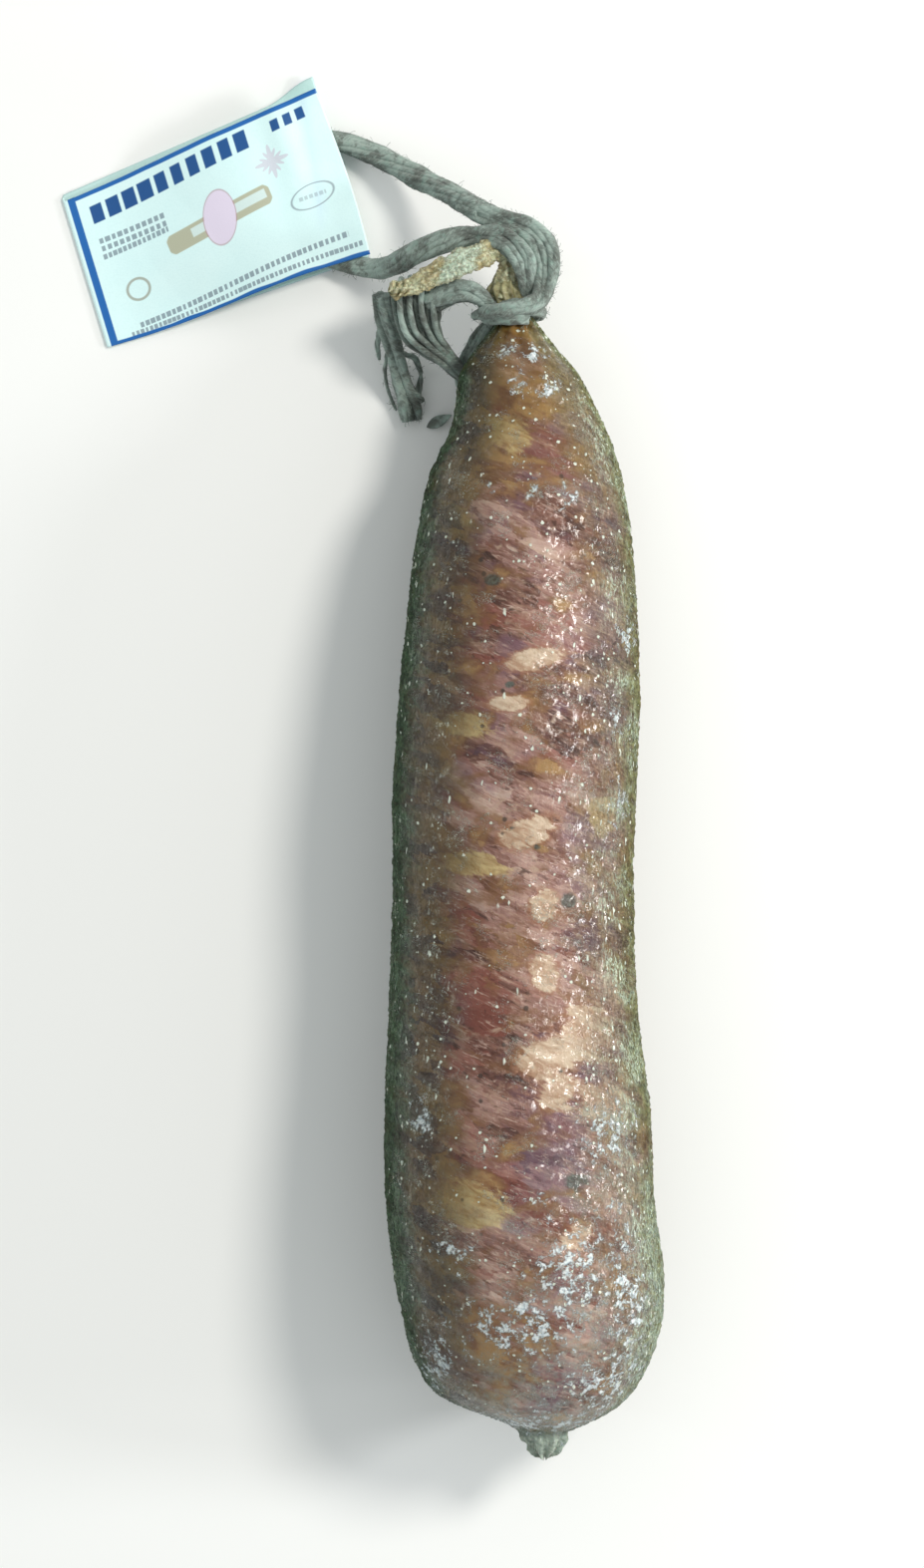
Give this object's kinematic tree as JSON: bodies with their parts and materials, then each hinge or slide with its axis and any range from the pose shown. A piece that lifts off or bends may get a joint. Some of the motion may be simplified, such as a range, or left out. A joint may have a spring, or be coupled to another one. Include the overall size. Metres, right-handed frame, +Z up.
{
  "type": "cured sausage",
  "caption": "Whole dry-cured sausage in a wrinkled natural casing, its neck tied with soft cotton twine that holds a folded paper label in a hanging loop.",
  "frame": {"origin": "middle of the sausage's length and width, on the surface that it rests on", "axes": "+Y along the sausage from its rounded foot to its tied neck, +Z up from the resting face, +X to the right when seen from above with the neck away"},
  "size_m": [0.1394, 0.3139, 0.0597],
  "materials": {
    "cured_sausage": "moist glossy natural casing over marbled cured meat, olive at its sides, with white mould flecks",
    "cotton_twine": "soft grey-green spun cotton, slightly fuzzy",
    "label_paper": "smooth pale printed paper"
  },
  "bodies": {
    "root": {"sausage": "cured_sausage", "twine_knot": "cotton_twine", "twine_loop": "cotton_twine", "twine_end": "cotton_twine", "label": "label_paper"}
  },
  "joints": []
}
